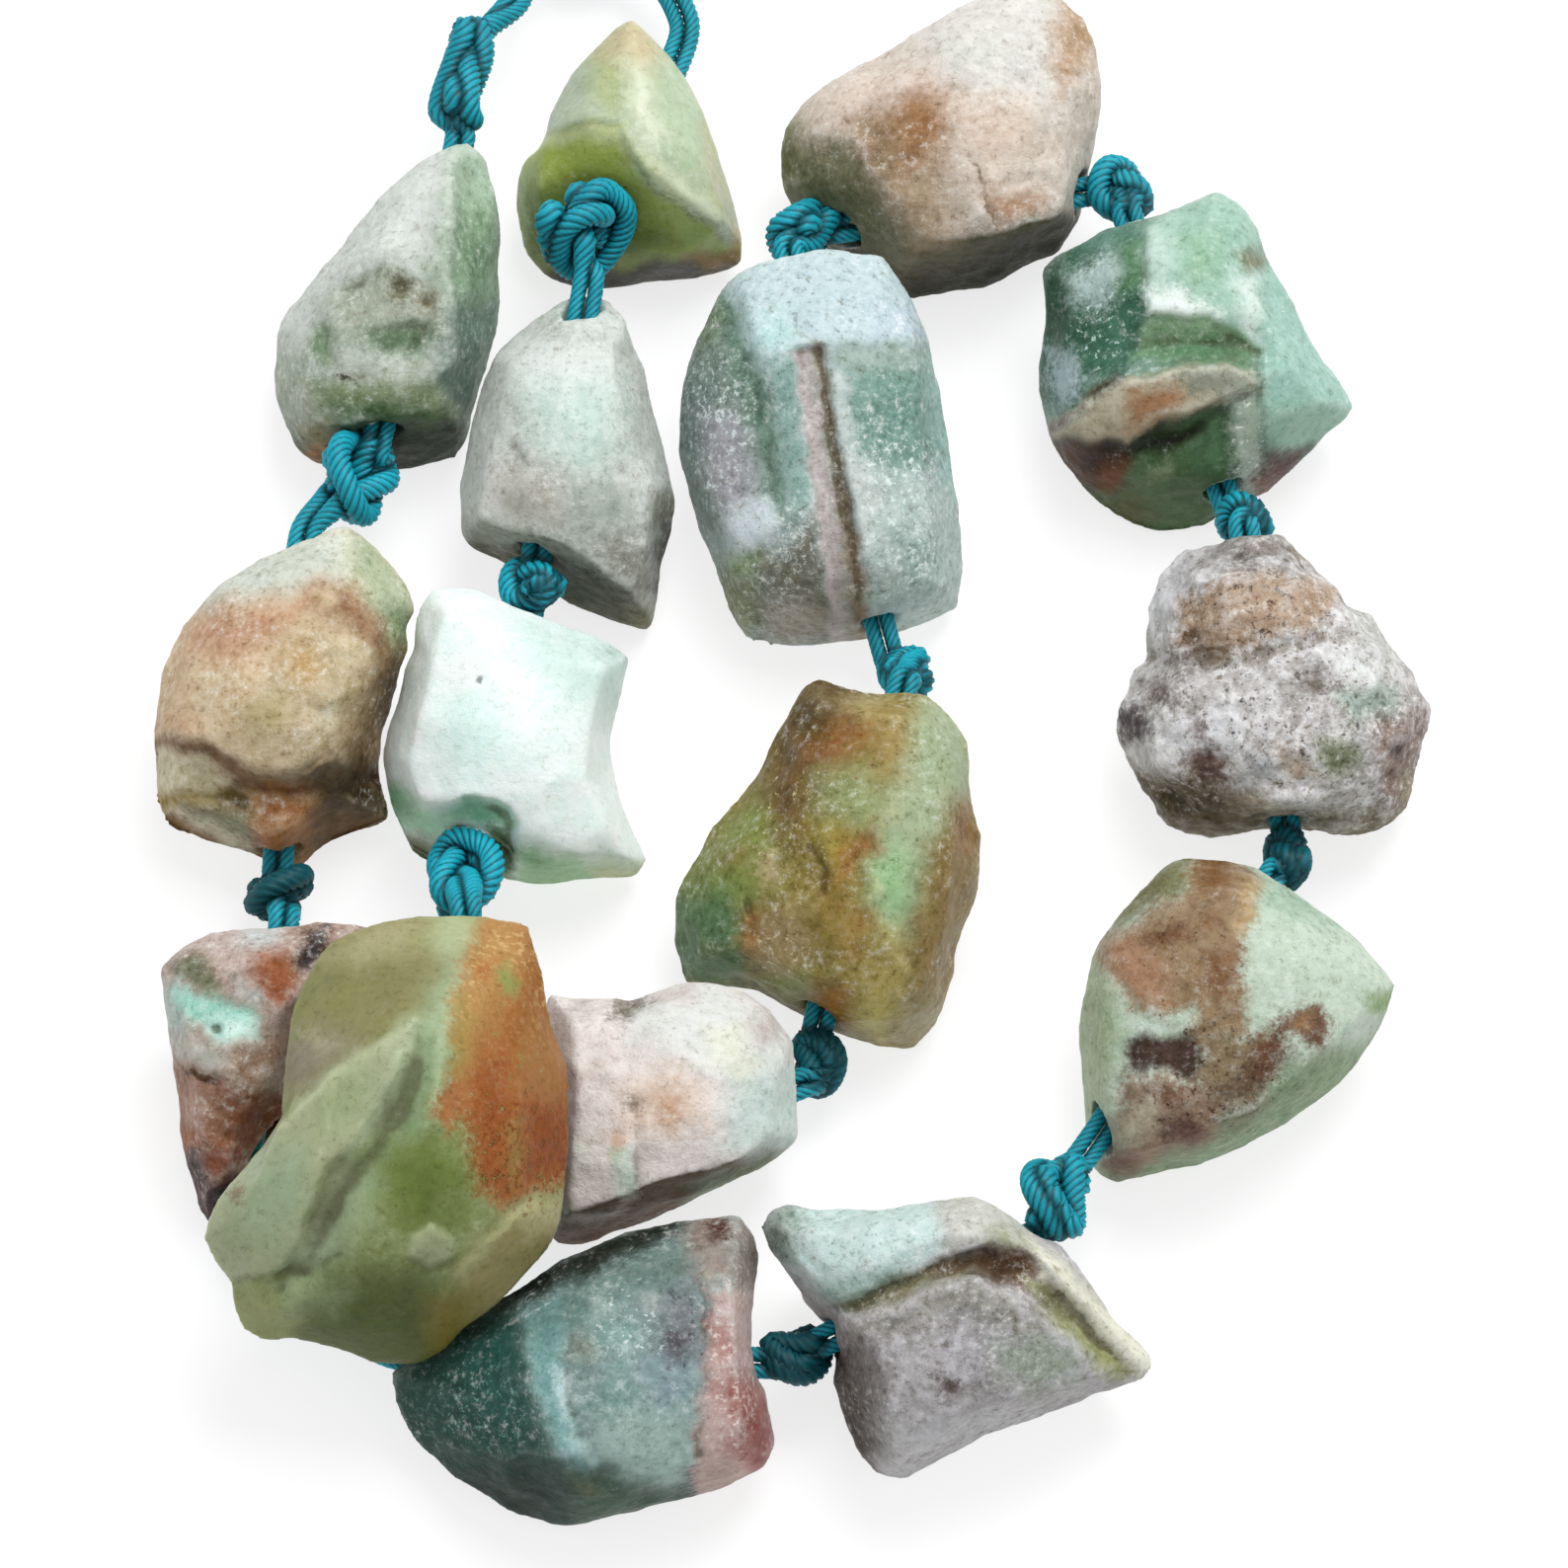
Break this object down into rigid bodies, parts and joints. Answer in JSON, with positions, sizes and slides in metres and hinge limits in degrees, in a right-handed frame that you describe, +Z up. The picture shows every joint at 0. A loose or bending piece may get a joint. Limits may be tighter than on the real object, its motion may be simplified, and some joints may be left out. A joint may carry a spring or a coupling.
{
  "type": "rough amazonite nugget strand",
  "caption": "Strand of rough amazonite nuggets in mint, white, olive and rust, threaded on a doubled teal cord with a knot between each pair.",
  "frame": {"origin": "middle of the strand's footprint on the table it lies on", "axes": "+Z up from the table, +Y along the strand's length towards its closing knot, +X to the right"},
  "size_m": [0.0928, 0.1328, 0.0234],
  "materials": {
    "stone_grey_green": "tumbled, satin",
    "stone_tan": "tumbled, satin",
    "stone_rust": "tumbled, satin",
    "stone_teal": "tumbled, satin",
    "stone_grey_white": "tumbled, satin",
    "stone_mint": "tumbled, satin",
    "stone_beige_white": "tumbled, satin",
    "stone_olive": "tumbled, satin",
    "stone_white": "tumbled, satin",
    "cord": "twisted waxed thread"
  },
  "bodies": {
    "root": {"nugget_01": "stone_grey_green", "nugget_02": "stone_tan", "nugget_03": "stone_rust", "nugget_04": "stone_teal", "nugget_05": "stone_grey_white", "nugget_06": "stone_tan", "nugget_07": "stone_grey_white", "nugget_08": "stone_mint", "nugget_09": "stone_beige_white", "nugget_10": "stone_mint", "nugget_11": "stone_olive", "nugget_12": "stone_beige_white", "nugget_13": "stone_olive", "nugget_14": "stone_white", "nugget_15": "stone_grey_green", "nugget_16": "stone_olive", "cord": "cord"}
  },
  "joints": []
}
